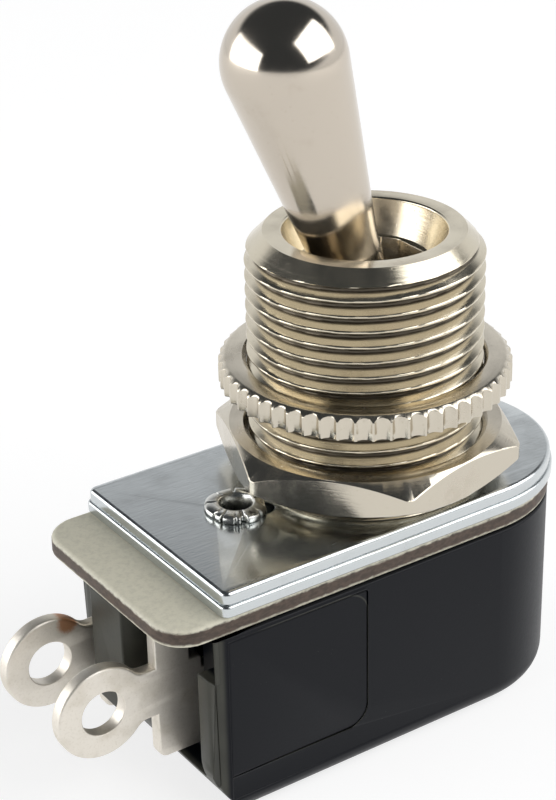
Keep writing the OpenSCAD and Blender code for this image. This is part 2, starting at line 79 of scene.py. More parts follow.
class Grain(Enum):
    """The direction that a metal's fine marks run in."""

    TURNED = "turned"
    ROLLED = "rolled"
    CAST = "cast"


# --------------------------------------------------------------------------------------------------
# Shader graphs
# --------------------------------------------------------------------------------------------------
class Value:
    """A number that varies over a surface: one socket, with the arithmetic that adds Math nodes."""

    def __init__(self, graph: "Graph", socket: bpy.types.NodeSocket) -> None:
        """Wraps a socket.

        Args:
            graph: The graph that the socket belongs to.
            socket: The output socket that carries the number.
        """
        self.graph = graph
        self.socket = socket

    def _math(self, operation: str, *operands: "Operand") -> "Value":
        """Adds one Math node and returns its result."""
        inputs = dict(enumerate(operands))
        made = self.graph.node("ShaderNodeMath", {"operation": operation}, inputs)
        return Value(self.graph, made.outputs[0])

    def __add__(self, other: "Operand") -> "Value":
        """Sum."""
        return self._math("ADD", self, other)

    def __radd__(self, other: "Operand") -> "Value":
        """Sum, with this value on the right."""
        return self._math("ADD", other, self)

    def __sub__(self, other: "Operand") -> "Value":
        """Difference."""
        return self._math("SUBTRACT", self, other)

    def __rsub__(self, other: "Operand") -> "Value":
        """Difference, with this value on the right."""
        return self._math("SUBTRACT", other, self)

    def __mul__(self, other: "Operand") -> "Value":
        """Product."""
        return self._math("MULTIPLY", self, other)

    def __rmul__(self, other: "Operand") -> "Value":
        """Product, with this value on the right."""
        return self._math("MULTIPLY", other, self)

    def __truediv__(self, other: "Operand") -> "Value":
        """Quotient."""
        return self._math("DIVIDE", self, other)

    def __rtruediv__(self, other: "Operand") -> "Value":
        """Quotient, with this value on the right."""
        return self._math("DIVIDE", other, self)

    def __pow__(self, other: "Operand") -> "Value":
        """Power."""
        return self._math("POWER", self, other)

    def root(self) -> "Value":
        """Square root."""
        return self._math("SQRT", self)

    def size(self) -> "Value":
        """Absolute value."""
        return self._math("ABSOLUTE", self)

    def most(self, other: "Operand") -> "Value":
        """The larger of two values."""
        return self._math("MAXIMUM", self, other)

    def ramp(self, low: Number, high: Number, start: Number = 0.0, end: Number = 1.0) -> "Value":
        """Maps low..high to start..end along a smooth S-curve, held flat outside.

        Args:
            low: The value that gives start.
            high: The value that gives end.
            start: The result at and below low.
            end: The result at and above high.

        Returns:
            The mapped value.
        """
        settings = {"interpolation_type": "SMOOTHSTEP"}
        inputs = {"Value": self, "From Min": low, "From Max": high, "To Min": start, "To Max": end}
        return Value(self.graph, self.graph.node("ShaderNodeMapRange", settings, inputs).outputs["Result"])


Operand = Union[Value, Number]
Colour = tuple[float, float, float]


class Graph:
    """The nodes of one material or of the surroundings, with the shader at their end."""

    def __init__(self, owner: Union[bpy.types.Material, bpy.types.World]) -> None:
        """Starts on an owner's own nodes.

        Args:
            owner: The material, or the world.
        """
        owner.use_nodes = True
        self.owner = owner
        self.tree = owner.node_tree
        self.shader = next(n for n in self.tree.nodes if n.type in ("BSDF_PRINCIPLED", "BACKGROUND"))

    @classmethod
    def named(cls, name: str) -> "Graph":
        """The nodes of a new material."""
        return cls(bpy.data.materials.new(name))

    def node(self, kind: str, settings: dict[str, object], inputs: dict[object, object]) -> bpy.types.Node:
        """Adds any node.

        Args:
            kind: The node's Blender type.
            settings: Its properties, set before its sockets.
            inputs: The value, Value or socket for each input, by name or number.

        Returns:
            The new node.
        """
        made = self.tree.nodes.new(kind)
        for key, value in settings.items():
            setattr(made, key, value)
        for key, value in inputs.items():
            self.feed(made.inputs[key], value)
        return made

    def feed(self, socket: bpy.types.NodeSocket, value: object) -> None:
        """Sets or links one input socket."""
        if isinstance(value, Value):
            self.tree.links.new(value.socket, socket)
        elif isinstance(value, bpy.types.NodeSocket):
            self.tree.links.new(value, socket)
        elif isinstance(value, tuple) and len(value) == 3 and socket.type == "RGBA":
            socket.default_value = (*value, 1.0)
        else:
            socket.default_value = value

    def place(self, shift: Colour = (0.0, 0.0, 0.0), turn: Colour = (0.0, 0.0, 0.0)) -> bpy.types.NodeSocket:
        """Object coordinates in millimetres, moved and then turned.

        Args:
            shift: Where the pattern's own origin lies, in millimetres.
            turn: How far the pattern's frame is turned, in radians.

        Returns:
            A vector socket.
        """
        where = self.node("ShaderNodeTexCoord", {}, {}).outputs["Object"]
        scaled = self.node(
            "ShaderNodeMapping",
            {"vector_type": "POINT"},
            {"Vector": where, "Scale": (1.0 / MM,) * 3, "Location": tuple(-s for s in shift)},
        ).outputs[0]
        if turn == (0.0, 0.0, 0.0):
            return scaled
        turned = {"Vector": scaled, "Rotation": turn}
        return self.node("ShaderNodeMapping", {"vector_type": "POINT"}, turned).outputs[0]

    def split(self, vector: bpy.types.NodeSocket) -> tuple[Value, Value, Value]:
        """The three components of a vector."""
        made = self.node("ShaderNodeSeparateXYZ", {}, {0: vector})
        return tuple(Value(self, made.outputs[i]) for i in range(3))

    def join(self, x: Operand, y: Operand, z: Operand) -> bpy.types.NodeSocket:
        """A vector of three components."""
        return self.node("ShaderNodeCombineXYZ", {}, {0: x, 1: y, 2: z}).outputs[0]

    def noise(
        self, where: bpy.types.NodeSocket, per_mm: Number, detail: Number = 3.0, rough: Number = 0.5
    ) -> Value:
        """Smooth noise between about 0.2 and 0.8.

        Args:
            where: The coordinates, in millimetres.
            per_mm: How many features there are in a millimetre.
            detail: How many finer layers are added.
            rough: How strong those layers are.

        Returns:
            The noise's value.
        """
        inputs = {"Vector": where, "Scale": per_mm, "Detail": detail, "Roughness": rough}
        return Value(self, self.node("ShaderNodeTexNoise", {}, inputs).outputs[0])

    def cells(self, where: bpy.types.NodeSocket, per_mm: Number) -> Value:
        """Distance to the nearest of many scattered points, from 0 to about 1."""
        made = self.node("ShaderNodeTexVoronoi", {}, {"Vector": where, "Scale": per_mm})
        return Value(self, made.outputs["Distance"])

    def blend(self, amount: Operand, first: object, second: object) -> bpy.types.NodeSocket:
        """Mixes two colours.

        Args:
            amount: 0 gives the first and 1 the second.
            first: A colour or colour socket.
            second: A colour or colour socket.

        Returns:
            A colour socket.
        """
        settings = {"data_type": "RGBA", "clamp_factor": True}
        return self.node("ShaderNodeMix", settings, {0: amount, 6: first, 7: second}).outputs[2]

    def bump(self, height: Value, distance_mm: Number, strength: Number = 1.0) -> None:
        """Feeds a height, in units of distance_mm, to the shader's normal."""
        inputs = {"Height": height, "Distance": distance_mm * MM, "Strength": strength}
        self.feed(self.shader.inputs["Normal"], self.node("ShaderNodeBump", {}, inputs).outputs[0])

    def finish(self, **sockets: object) -> bpy.types.Material:
        """Sets the shader's own sockets, named with _ for a space, and returns the material."""
        for key, value in sockets.items():
            self.feed(self.shader.inputs[key.replace("_", " ")], value)
        return self.owner


# --------------------------------------------------------------------------------------------------
# Finishes
# --------------------------------------------------------------------------------------------------
@dataclass(frozen=True)
class Metal:
    """A bare or plated metal with fine marks and stains, and painted shade in the thread grooves when given.

    Attributes:
        name: The material's name.
        tint: The metal's colour.
        stain: The colour of its stains.
        gloss: Roughness of the cleanest spots.
        haze: Roughness of the dullest spots.
        grain: The direction of its fine marks.
        mark_depth: Depth of the fine marks, in millimetres.
        stain_share: How much of the surface is stained, from 0 to 1.
        shift: Centre of the marks' pattern, in millimetres.
        turn: Turn of the marks' pattern, in radians.
        shaded_roots: Inner radius, outer radius and top of the grooves that are darkened with painted shade.
    """

    name: str
    tint: Colour
    stain: Colour
    gloss: float
    haze: float
    grain: Grain = Grain.CAST
    mark_depth: float = 0.002
    stain_share: float = 0.3
    shift: Colour = (0.0, 0.0, 0.0)
    turn: Colour = (0.0, 0.0, 0.0)
    shaded_roots: Union[Colour, None] = None

    def build(self) -> bpy.types.Material:
        """Makes the material.

        Returns:
            The finished material.
        """
        g = Graph.named(self.name)
        where = g.place(self.shift, self.turn)
        x, y, z = g.split(where)
        if self.grain is Grain.TURNED:
            radius = (x * x + y * y).root()
            lines = g.noise(g.join(radius, 0.0, z), 9.0, 2.0, 0.6)
        elif self.grain is Grain.ROLLED:
            lines = g.noise(g.join(x * 0.12, y, z), 7.0, 3.0, 0.6)
        else:
            lines = g.noise(where, 3.0, 3.0, 0.6)
        pits = g.cells(where, 2.6).ramp(0.04, 0.16)
        soft = g.noise(where, 0.45, 4.0, 0.6)
        patchy = soft.ramp(0.62 - 0.3 * self.stain_share, 0.85)
        colour = g.blend(patchy * 0.45 + (1.0 - pits) * 0.3, self.tint, self.stain)
        rough = self.gloss + (self.haze - self.gloss) * soft.ramp(0.3, 0.7)
        rough = rough + lines * 0.06
        if self.shaded_roots:
            # Painted shade: the grooves between the inner and outer radius, below the top height, turn near
            # black.
            inner, outer, top = self.shaded_roots
            radius = (x * x + y * y).root() + (soft - 0.5) * 0.10
            root_shade = radius.ramp(outer - 0.06, outer + 0.06, 1.0, 0.0) * radius.ramp(inner, inner + 0.1)
            root_shade = root_shade * z.ramp(top, top + 0.1, 1.0, 0.0)
            colour = g.blend(root_shade * 0.9, colour, (0.05, 0.04, 0.03))
            rough = rough + root_shade * 0.2
        g.bump(lines + pits * 0.5, self.mark_depth)
        return g.finish(Base_Color=colour, Metallic=1.0, Roughness=rough)


@dataclass(frozen=True)
class Phenolic:
    """Black moulded phenolic: satin, faintly mottled and specked, with a painted highlight on the panel edges
    and a painted reflection on the end faces.

    Attributes:
        name: The material's name.
        tint: The moulding's colour.
        dust_and_sheen_tint: The colour of dusty specks, of the painted highlight on the panel edges and of
            the painted reflection on the end faces.
        panel: Centre and half sizes of the side panels in X and Z, and their corner radius.
    """

    name: str = "phenolic"
    tint: Colour = (0.003, 0.0038, 0.0062)
    dust_and_sheen_tint: Colour = (0.085, 0.085, 0.07)
    panel: tuple[float, float, float, float, float] = (-8.75, -6.49, 4.05, 3.9, 1.2)

    def build(self) -> bpy.types.Material:
        """Makes the material, with a painted highlight: a thin band on the panel's rounded rectangle."""
        g = Graph.named(self.name)
        where = g.place()
        fine = g.noise(where, 6.0, 4.0, 0.6)
        broad = g.noise(where, 0.4, 4.0, 0.6)
        specks = g.cells(where, 2.4).ramp(0.03, 0.07, 1.0, 0.0)
        x, y, z = g.split(where)
        cx, cz, half_x, half_z, corner = self.panel
        # Painted highlight: a thin lighter band along the panel's rounded-rectangle edge, kept to the sides
        # towards the round end.
        over_x = ((x - cx).size() - (half_x - corner)).most(0.0)
        over_z = ((z - cz).size() - (half_z - corner)).most(0.0)
        edge = ((over_x * over_x + over_z * over_z).root() - corner).size().ramp(0.02, 0.06, 1.0, 0.0)
        edge = edge * y.size().ramp(6.2, 6.3) * x.ramp(-11.5, -10.0)
        # Painted reflection: the lug end faces and their corner roundings are lightened as if they reflected
        # bright surroundings.
        end = x.ramp(-13.2, -12.9, 1.0, 0.0)
        # Mixes the painted highlight, the painted reflection and real dusty specks into one lightening.
        painted_sheen_and_dust = edge * (0.25 + broad * 0.4) + end * (0.35 + broad * 0.5) + specks * broad.ramp(0.5, 0.62) * 0.4
        colour = g.blend(painted_sheen_and_dust, self.tint, self.dust_and_sheen_tint)
        g.bump(fine + specks * 0.4, 0.004)
        rough = 0.30 + fine * 0.12 + broad * 0.08
        return g.finish(Base_Color=colour, Roughness=rough, IOR=1.5, Specular_IOR_Level=0.17)


@dataclass(frozen=True)
class Laminate:
    """Tan laminate sheet with a smooth face and a browner, fibrous cut edge.

    Attributes:
        name: The material's name.
        face: Colour of the faces.
        edge: Colour of the cut edge.
        band: Lower and upper height of the cut edge's dark band, in millimetres.
    """

    name: str
    face: Colour
    edge: Colour
    band: tuple[float, float]

    def build(self) -> bpy.types.Material:
        """Makes the material."""
        g = Graph.named(self.name)
        where = g.place()
        x, y, z = g.split(where)
        plies = g.noise(g.join(x * 0.5, y * 0.5, z), 5.0, 4.0, 0.65)
        weave = g.noise(where, 3.5, 6.0, 0.7)
        low, high = self.band
        height = z + (plies - 0.5) * 0.25
        cut = height.ramp(low - 0.10, low + 0.08) * height.ramp(high - 0.05, high + 0.09, 1.0, 0.0)
        face = g.blend(weave.ramp(0.4, 0.68) * 0.5, self.face, tuple(c * 0.74 for c in self.face))
        edge = g.blend(plies.ramp(0.35, 0.65) * 0.6, self.edge, tuple(c * 2.4 for c in self.edge))
        g.bump(weave * 0.5 + plies * cut * 1.5, 0.012)
        return g.finish(Base_Color=g.blend(cut, face, edge), Roughness=0.45 + weave * 0.2)


@dataclass(frozen=True)
class Tinned:
    """Tinned strip: satin and slightly lumpy, with a small rust spot."""

    name: str
    tint: Colour = (0.78, 0.735, 0.66)
    dull: Colour = (0.60, 0.55, 0.46)
    spot: Colour = (0.45, 0.16, 0.03)
    spot_at: Colour = (0.0, 0.0, 0.0)
    spot_radius: float = 0.0

    def build(self) -> bpy.types.Material:
        """Makes the material."""
        g = Graph.named(self.name)
        where = g.place()
        lumps = g.noise(where, 0.8, 3.0, 0.5)
        fine = g.noise(where, 7.0, 3.0, 0.6)
        pits = g.cells(where, 2.2).ramp(0.03, 0.12, 1.0, 0.0)
        marks = lumps.ramp(0.45, 0.75) * 0.5 + fine.ramp(0.5, 0.7) * 0.3 + pits * 0.5
        colour = g.blend(marks, self.tint, self.dull)
        if self.spot_radius:
            x, y, z = g.split(g.place(self.spot_at))
            far = (x * x + z * z).root() + (fine - 0.5) * 0.35
            colour = g.blend(far.ramp(self.spot_radius * 0.5, self.spot_radius, 0.8, 0.0), colour, self.spot)
        g.bump(lumps + fine * 0.05, 0.03)
        return g.finish(Base_Color=colour, Metallic=0.88, Roughness=0.36 + lumps * 0.10 + fine * 0.08)


@dataclass(frozen=True)
class Floor:
    """Pale matt floor that is close to white."""

    name: str = "floor"
    tint: Colour = (0.35, 0.35, 0.35)
    glow: float = 0.74

    def build(self) -> bpy.types.Material:
        """Makes the material."""
        g = Graph.named(self.name)
        return g.finish(
            Base_Color=self.tint, Roughness=0.9, Emission_Color=(1.0, 1.0, 1.0), Emission_Strength=self.glow
        )


# --------------------------------------------------------------------------------------------------
# Surfaces
# --------------------------------------------------------------------------------------------------
def turns(count: int) -> np.ndarray:
    """Angles of count equal steps round a circle, in radians."""
    return np.arange(count) * (TAU / count)


def arc(centre: Sequence[float], radius: float, start: float, end: float, count: int) -> np.ndarray:
    """Points on a circle: centre + radius * (cos a, sin a) for a from start to end.

    Args:
        centre: The circle's centre.
        radius: Its radius.
        start: First angle, in degrees.
        end: Last angle, in degrees.
        count: How many points.

    Returns:
        An array of count points.
    """
    a = np.radians(np.linspace(start, end, count))
    return np.asarray(centre, float) + radius * np.stack([np.cos(a), np.sin(a)], -1)


def round_corners(corners: Sequence[tuple[float, float, float]], steps: int = 6) -> np.ndarray:
    """A closed outline whose corners are rounded.

    Each corner P with radius r is replaced by the arc that touches both its sides: the arc starts and ends
    r / tan(half the corner's angle) from P, and follows a quadratic blend of those two points with P.

    Args:
        corners: x, y and radius of each corner in order.
        steps: Points on each rounded corner.

    Returns:
        The outline's points.
    """
    table = np.asarray(corners, float)
    points, radii = table[:, :2], table[:, 2]
    before = np.roll(points, 1, axis=0) - points
    after = np.roll(points, -1, axis=0) - points
    before /= np.linalg.norm(before, axis=1, keepdims=True)
    after /= np.linalg.norm(after, axis=1, keepdims=True)
    half = np.arccos(np.clip((before * after).sum(1), -1, 1)) / 2
    reach = radii / np.tan(half)
    middle = before + after
    middle /= np.linalg.norm(middle, axis=1, keepdims=True)
    centres = points + middle * (radii / np.sin(half))[:, None]
    starts = points + before * reach[:, None]
    ends = points + after * reach[:, None]
    t = np.linspace(0, 1, steps)[None, :, None]
    chord = starts[:, None] * (1 - t) + ends[:, None] * t - centres[:, None]
    length = np.linalg.norm(chord, axis=2, keepdims=True)
    safe = np.where(length > 1e-9, length, 1.0)
    rounded = centres[:, None] + chord / safe * radii[:, None, None]
    pieces = [rounded[i] if radii[i] > 0 else points[i : i + 1] for i in range(len(points))]
    return np.concatenate(pieces)


def normals(loop: np.ndarray) -> np.ndarray:
    """Outward unit normals of a closed outline: each is square to the mean of its two sides' directions.

    Args:
        loop: The outline's points, of shape (n, 2), either way round.

    Returns:
        One unit vector for each point, pointing away from the inside.
    """
    after = np.roll(loop, -1, axis=0) - loop
    before = loop - np.roll(loop, 1, axis=0)
    after /= np.maximum(np.linalg.norm(after, axis=1, keepdims=True), 1e-9)
    before /= np.maximum(np.linalg.norm(before, axis=1, keepdims=True), 1e-9)
    mean = after + before
    mean /= np.maximum(np.linalg.norm(mean, axis=1, keepdims=True), 1e-9)
    spin = np.sign(np.sum(loop[:, 0] * np.roll(loop[:, 1], -1) - loop[:, 1] * np.roll(loop[:, 0], -1)))
    return np.column_stack([mean[:, 1], -mean[:, 0]]) * spin


@dataclass
class Skin:
    """The surface of one piece, gathered from grids and flat caps, in millimetres."""

    points: list[np.ndarray] = field(default_factory=list)
    faces: list[list[int]] = field(default_factory=list)
    count: int = 0

    def grid(self, where: np.ndarray, around: bool = True, along: bool = False) -> None:
        """Adds a grid of points joined by four-sided faces.

        Args:
            where: Points of shape (rows, columns, 3).
            around: Whether the last column joins the first.
            along: Whether the last row joins the first.
        """
        rows, columns = where.shape[:2]
        i = np.arange(rows if along else rows - 1)[:, None]
        j = np.arange(columns if around else columns - 1)[None, :]
        right, up = (j + 1) % columns, (i + 1) % rows
        corners = [i * columns + j, i * columns + right, up * columns + right, up * columns + j]
        quads = np.stack(np.broadcast_arrays(*corners), -1).reshape(-1, 4) + self.count
        self.points.append(where.reshape(-1, 3))
        self.faces.extend(quads.tolist())
        self.count += rows * columns

    def cap(self, loops: Sequence[np.ndarray]) -> None:
        """Adds a flat cap inside the first loop and outside the others.

        Args:
            loops: Closed outlines of shape (n, 3), in one plane.
        """
        triangles = tessellate_polygon([[Vector(p) for p in loop] for loop in loops])
        self.points.append(np.concatenate(loops))
        self.faces.extend([[i + self.count for i in t] for t in triangles])
        self.count += sum(len(loop) for loop in loops)

    def slab(
        self, loops: Sequence[np.ndarray], low: float, high: float, lay: Callable[[np.ndarray], np.ndarray],
        rounds: Sequence[tuple[float, float]],
    ) -> None:
        """Adds a flat sheet with rounded edges: outlines swept from low to high and capped.

        Near each end the outline moves into the sheet by r * (1 - cos a) while it still has r * (1 - sin a)
        to go, for a from 0 to 90 degrees.

        Args:
            loops: Outlines of shape (n, 2), the outer one first.
            low: Height of the lower face.
            high: Height of the upper face.
            lay: Turns points drawn as (u, v, height) into x, y and z.
            rounds: Radius of each outline's lower and upper edge.
        """
        ends = ([], [])
        turn = np.linspace(0.0, math.pi / 2, 6)
        for index, (loop, (foot, head)) in enumerate(zip(loops, rounds)):
            inward = normals(loop) * (-1.0 if index == 0 else 1.0)
            rows = [(foot * (1 - math.cos(a)), low + foot * (1 - math.sin(a))) for a in turn[::-1]]
            rows += [(head * (1 - math.cos(a)), high - head * (1 - math.sin(a))) for a in turn]
            levels = [(loop + inward * inset, np.full(len(loop), h)) for inset, h in rows]
            rings = [lay(np.column_stack(level)) for level in levels]
            self.grid(np.stack(rings))
            ends[0].append(rings[0])
            ends[1].append(rings[-1])
        for end in ends:
            self.cap(end)

    def build(self, name: str, sharp: float = 32.0) -> bpy.types.Object:
        """Makes the object: welds the seams, points the faces outwards and marks the sharp edges.

        Args:
            name: The object's name.
            sharp: Edges that turn by more than this many degrees stay sharp.

        Returns:
            The new object, linked to the scene.
        """
        mesh = bpy.data.meshes.new(name)
        mesh.from_pydata(np.concatenate(self.points) * MM, [], self.faces)
        return stand(mesh, name, sharp)


def stand(mesh: bpy.types.Mesh, name: str, sharp: float) -> bpy.types.Object:
    """Cleans a closed mesh and puts it in the scene.

    Args:
        mesh: The mesh, in metres.
        name: The object's name.
        sharp: Edges that turn by more than this many degrees stay sharp.

    Returns:
        The new object.
    """
    work = bmesh.new()
    work.from_mesh(mesh)
    bmesh.ops.remove_doubles(work, verts=work.verts, dist=2e-7)
    bmesh.ops.dissolve_degenerate(work, edges=work.edges, dist=1e-7)
    bmesh.ops.recalc_face_normals(work, faces=work.faces)
    work.to_mesh(mesh)
    work.free()
    mesh.shade_smooth()
    mesh.set_sharp_from_angle(angle=math.radians(sharp))
    made = bpy.data.objects.new(name, mesh)
    bpy.context.scene.collection.objects.link(made)
    return made


def even_shading(piece: bpy.types.Object) -> bpy.types.Object:
    """Weights the shading of each corner by the faces' areas, so that large flats look flat.

    Args:
        piece: The piece to shade.

    Returns:
        The same piece.
    """
    made = piece.modifiers.new("shading", "WEIGHTED_NORMAL")
    made.mode, made.weight, made.keep_sharp = "FACE_AREA", 100, True
    return piece


def bevel(piece: bpy.types.Object, width: float, segments: int = 3, angle: float = 35.0) -> None:
    """Rounds a piece's sharp edges.

    Args:
        piece: The piece.
        width: The rounding's width, in millimetres.
        segments: Faces across the rounding.
        angle: Edges that turn by more than this many degrees are rounded.
    """
    made = piece.modifiers.new("edge", "BEVEL")
    made.width = width * MM
    made.segments = segments
    made.limit_method = "ANGLE"
    made.angle_limit = math.radians(angle)
    made.harden_normals = True
    made.miter_outer = "MITER_ARC"


def dress(
    piece: bpy.types.Object, body: Body, slot: str, finish: bpy.types.Material, *nodes: str
) -> bpy.types.Object:
    """Gives a piece its finish and body, and lets it stand for frame nodes.

    Args:
        piece: The piece.
        body: The body that it rides on.
        slot: A material slot's name; not used.
        finish: Its material.
        nodes: The frame nodes that it replaces.

    Returns:
        The piece.
    """
    piece.data.materials.clear()
    piece.data.materials.append(finish)
    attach(piece, body.value)
    if nodes:
        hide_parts(*nodes)
    LOG.info("%s: %d faces, on %s", piece.name, len(piece.data.polygons), body.value)
    return piece


def merged_copy(node: str, name: str, sharp: float = 32.0) -> bpy.types.Object:
    """A copy of a frame node's mesh whose triangles are merged and whose flat faces are joined.

    Args:
        node: The frame node.
        name: The new object's name.
        sharp: Edges that turn by more than this many degrees stay sharp.

    Returns:
        The new object.
    """
    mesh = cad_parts[node].data.copy()
    work = bmesh.new()
    work.from_mesh(mesh)
    bmesh.ops.remove_doubles(work, verts=work.verts, dist=1e-6)
    bmesh.ops.dissolve_limit(work, angle_limit=math.radians(0.4), verts=work.verts, edges=work.edges)
    work.to_mesh(mesh)
    work.free()
    mesh.shade_smooth()
    mesh.set_sharp_from_angle(angle=math.radians(sharp))
    made = bpy.data.objects.new(name, mesh)
    bpy.context.scene.collection.objects.link(made)
    return made


def plate_outline(square: float, centre: float, half: float, corner: float) -> np.ndarray:
    """Outline of a plate with a square end at -X and a half round one at +X.

    Args:
        square: Distance from the origin to the square end.
        centre: Centre of the round end.
        half: Half the plate's width, and the round end's radius.
        corner: Corner radius at the square end.

    Returns:
        The outline, counter-clockwise.
    """
    near = arc((-square + corner, -half + corner), corner, 180, 270, 9)
    far = arc((-square + corner, half - corner), corner, 90, 180, 9)
    return np.concatenate([near, arc((centre, 0), half, -90, 90, 65), far])


def revolve(
    stations: Sequence[tuple[object, object]], angle: np.ndarray, at: tuple[float, float] = (0.0, 0.0)
) -> np.ndarray:
    """A grid about an upright axis: x = r * cos, y = r * sin and z = h for each station along every angle.

    Args:
        stations: Radius and height of each station, each a number or one number per angle.
        angle: Plan angles, in radians.
        at: X and Y of the axis.

    Returns:
        The points, stations by angles.
    """
    r, h = (np.stack([np.broadcast_to(s[k], angle.shape) for s in stations]) for k in (0, 1))
    return np.stack([at[0] + r * np.cos(angle), at[1] + r * np.sin(angle), h], -1)


def flat(points: np.ndarray) -> np.ndarray:
    """Lays a drawing down as it is: u, v and height become x, y and z."""
    return points


def upright(points: np.ndarray) -> np.ndarray:
    """Stands a drawing up in the X-Z plane: u, v and height become x, z and y."""
    return points[:, [0, 2, 1]]


# --------------------------------------------------------------------------------------------------
# Sub-assemblies
# --------------------------------------------------------------------------------------------------
@dataclass
class Bushing:
    """Threaded bushing with its crown, cup, slotted floor, ball seat and bore.

    Attributes:
        radius: Major radius of the thread.
        pitch: Pitch of the thread.
        crest_at: Height of one crest, seen at crest_angle.
        crest_angle: Plan angle at which crest_at holds, in degrees.
        thread_depth: Depth of the thread.
        top: Height of the crown.
        crown: Outer radius of the crown's flat ring.
        chamfer: Angle of the crown's chamfer, in degrees.
        mouth: Radius of the cup's mouth.
        floor_z: Height of the cup's floor.
        floor_r: Radius of the cup's floor.
        slot: Half length and half width of the slot, and its corner radius.
        fulcrum: Height of the ball's centre.
        seat: Radius of the ball's seat.
        bore: Radius of the lower bore.
        bore_z: Height at which the lower bore begins.
        spigot: Radius of the spigot through the plates.
        rim: Radius of the staked rim.
        rim_z: Heights of the rim's lower and upper face.
    """

    radius: float = 5.953
    pitch: float = 0.79375
    crest_at: float = 11.765
    crest_angle: float = -130.0
    thread_depth: float = 0.50
    top: float = 13.1
    crown: float = 5.02
    chamfer: float = 45.0
    mouth: float = 4.03
    floor_z: float = 11.4
    floor_r: float = 3.1
    slot: Colour = (2.9, 1.95, 0.7)
    fulcrum: float = 8.4
    seat: float = 2.93
    bore: float = 4.4
    bore_z: float = 3.4
    spigot: float = 5.2
    rim: float = 5.55
    rim_z: tuple[float, float] = (-1.56, -1.31)
    columns: int = 232
    rows_per_turn: int = 24

    def thread(self, angle: np.ndarray, z: np.ndarray) -> np.ndarray:
        """Radius of the threaded surface.

        With w the height above or below the nearest crest, the radius is the major radius less
        (w - flat) / tan 30, held between 0 and the thread's depth and eased at both ends. It is also no
        more than the crown's chamfer allows.

        Args:
            angle: Plan angles, in radians.
            z: Heights.

        Returns:
            The radius at each angle and height.
        """
        lift = self.crest_at + self.pitch * (angle - math.radians(self.crest_angle)) / TAU
        w = np.abs((z - lift + self.pitch / 2) % self.pitch - self.pitch / 2)
        depth = (w - 0.045) / math.tan(math.radians(30.0))
        ease = 0.02
        depth = 0.5 * (depth + np.sqrt(depth**2 + ease**2))
        left = self.thread_depth - depth
        depth = self.thread_depth - 0.5 * (left + np.sqrt(left**2 + ease**2))
        fade = np.clip(z / 0.5, 0, 1)
        cone = self.crown + (self.top - z) / math.tan(math.radians(self.chamfer))
        return np.minimum(self.radius - np.maximum(depth, 0.0) * fade, cone)

    def slot_edge(self, angle: np.ndarray) -> np.ndarray:
        """Distance from the axis to the edge of the slot, a rectangle with rounded corners.

        Args:
            angle: Plan angles, in radians.

        Returns:
            The distance along each angle.
        """
        a, b, q = self.slot
        c, s = np.abs(np.cos(angle)) + 1e-9, np.abs(np.sin(angle)) + 1e-9
        m = c * (a - q) + s * (b - q)
        corner = m + np.sqrt(np.maximum(m**2 - (a - q) ** 2 - (b - q) ** 2 + q**2, 0.0))
        edge = np.where(a * s / c <= b - q, a / c, np.where(b * c / s <= a - q, b / s, corner))
        return np.minimum(edge, self.floor_r - 0.03)

    def surface(self) -> np.ndarray:
        """The whole bushing as one grid, closed both ways: stations along its section by angles."""
        angle = turns(self.columns)
        foot, step = self.rim_z
        stations = [(self.rim - 0.06, foot), (self.rim, foot + 0.06), (self.rim, step)]
        stations += [(self.spigot, step), (self.spigot, 0.0), (self.radius - 0.1, 0.0)]
        heights = np.linspace(0.02, self.top, int(self.rows_per_turn * self.top / self.pitch))
        stations += [(self.thread(angle, np.full_like(angle, h)), h) for h in heights]
        lip = arc((self.mouth + 0.16, self.top - 0.12), 0.12, 90, 190, 6)
        stations += [(self.crown - 0.25, self.top), *lip]
        stations += [(self.floor_r + 0.16, self.floor_z + 0.05), (self.floor_r, self.floor_z)]
        edge = self.slot_edge(angle)
        ball = np.sqrt(np.maximum(self.seat**2 - edge**2, 0.0025))
        under = np.minimum(edge, self.seat - 0.001)
        stations += [(edge + 0.02, self.floor_z), (edge, self.floor_z - 0.03)]
        stations += [(edge, self.fulcrum + ball), (under, self.fulcrum + ball * 0.98)]
        stations += [(self.seat, self.fulcrum), (self.bore, self.bore_z), (self.bore, foot)]
        return revolve(stations, angle)

    def build(self, finish: bpy.types.Material) -> bpy.types.Object:
        """Makes and dresses the bushing."""
        skin = Skin()
        skin.grid(self.surface(), along=True)
        return dress(skin.build("threaded_bushing", 38.0), Body.HOUSING, "nickel", finish, "bushing")


